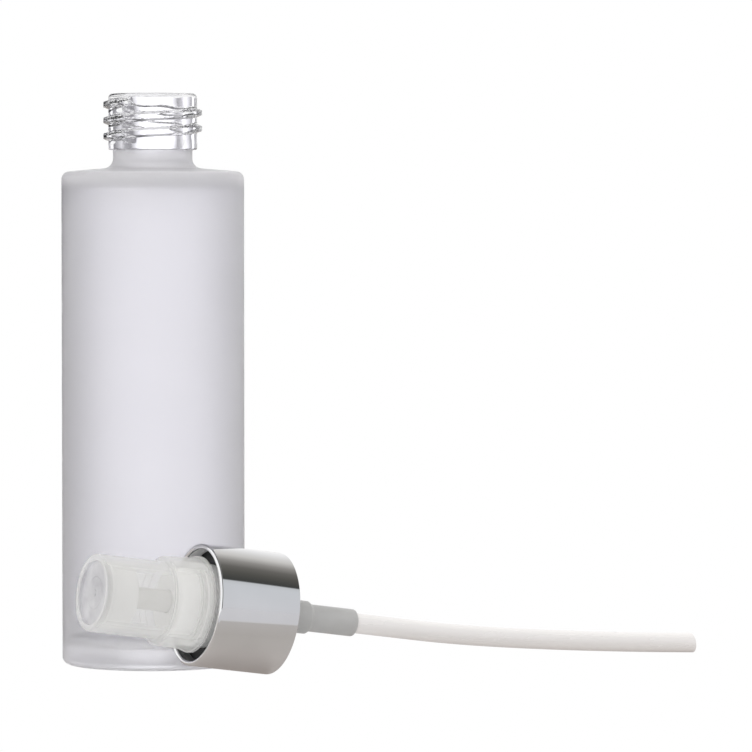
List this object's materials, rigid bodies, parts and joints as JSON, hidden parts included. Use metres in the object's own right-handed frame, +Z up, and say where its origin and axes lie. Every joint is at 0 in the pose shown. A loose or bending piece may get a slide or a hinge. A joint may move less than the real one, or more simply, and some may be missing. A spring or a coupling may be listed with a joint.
{
  "type": "pump oil bottle",
  "caption": "Cylindrical frosted glass bottle standing open, with its unscrewed hand pump, metal collar, clear overcap and dip tube lying in front of it.",
  "frame": {"origin": "centre of the bottle's base, on the surface the set stands on", "axes": "+Z up along the bottle's axis; +X along the lying pump, from its head towards the end of its dip tube; the pump lies on the -Y side of the bottle"},
  "size_m": [0.1357, 0.0609, 0.1144],
  "materials": {
    "frosted_glass": "acid-frosted outside, clear neck finish",
    "silver_aluminium": "bright polished and anodised",
    "clear_plastic": "clear moulded polypropylene, glossy",
    "natural_pp": "milky undyed polypropylene",
    "black_pp": "black polypropylene, satin",
    "housing_pp": "milky undyed polypropylene, grey in shade",
    "tube_ldpe": "translucent polyethylene, satin",
    "white_pe": "white polyethylene",
    "seal_rubber": "soft elastomer",
    "steel": "stainless, drawn"
  },
  "bodies": {
    "bottle": {"glass_bottle": "frosted_glass"},
    "pump_core": {"pump_housing": "housing_pp", "turret": "natural_pp", "stem_guide": "natural_pp", "vent_seal": "seal_rubber", "neck_gasket": "white_pe", "ball_cage": "natural_pp", "dip_tube": "tube_ldpe", "return_spring": "steel"},
    "collar": {"collar_shell": "silver_aluminium", "threaded_closure": "black_pp"},
    "stroke": {"stem": "natural_pp", "piston": "white_pe", "valve_plug": "natural_pp", "outlet_spring": "steel"},
    "head": {"actuator": "natural_pp", "nozzle_insert": "natural_pp"},
    "cap": {"overcap": "clear_plastic"},
    "inlet_check": {"inlet_ball": "steel"},
    "outlet_check": {"outlet_ball": "steel"}
  },
  "joints": [
    {"name": "pump_lift", "type": "slide", "parent": "bottle", "child": "pump_core", "axis": [0, 0, 1], "range_m": [0, 0.1]},
    {"name": "collar_spin", "type": "hinge", "parent": "pump_core", "child": "collar", "pos_m": [0.00341, -0.03055, 0.0131], "axis": [-0.9895, 0, 0.1444], "continuous": true},
    {"name": "pump_stroke", "type": "slide", "parent": "pump_core", "child": "stroke", "axis": [0.9895, 0, -0.1444], "range_m": [0, 0.005], "stiffness_N_per_m": 1500, "springref_m": -0.002, "deforming": ["return_spring"]},
    {"name": "actuator_swivel", "type": "hinge", "parent": "stroke", "child": "head", "pos_m": [-0.02252, -0.03055, 0.01688], "axis": [-0.9895, 0, 0.1444], "continuous": true},
    {"name": "overcap_pull", "type": "slide", "parent": "pump_core", "child": "cap", "axis": [-0.9895, 0, 0.1444], "range_m": [0, 0.03]},
    {"name": "inlet_ball_lift", "type": "slide", "parent": "pump_core", "child": "inlet_check", "axis": [-0.9895, 0, 0.1444], "range_m": [0, 0.0005]},
    {"name": "outlet_ball_lift", "type": "slide", "parent": "stroke", "child": "outlet_check", "axis": [-0.9895, 0, 0.1444], "range_m": [0, 0.0008], "stiffness_N_per_m": 60, "springref_m": -0.001, "deforming": ["outlet_spring"]}
  ]
}
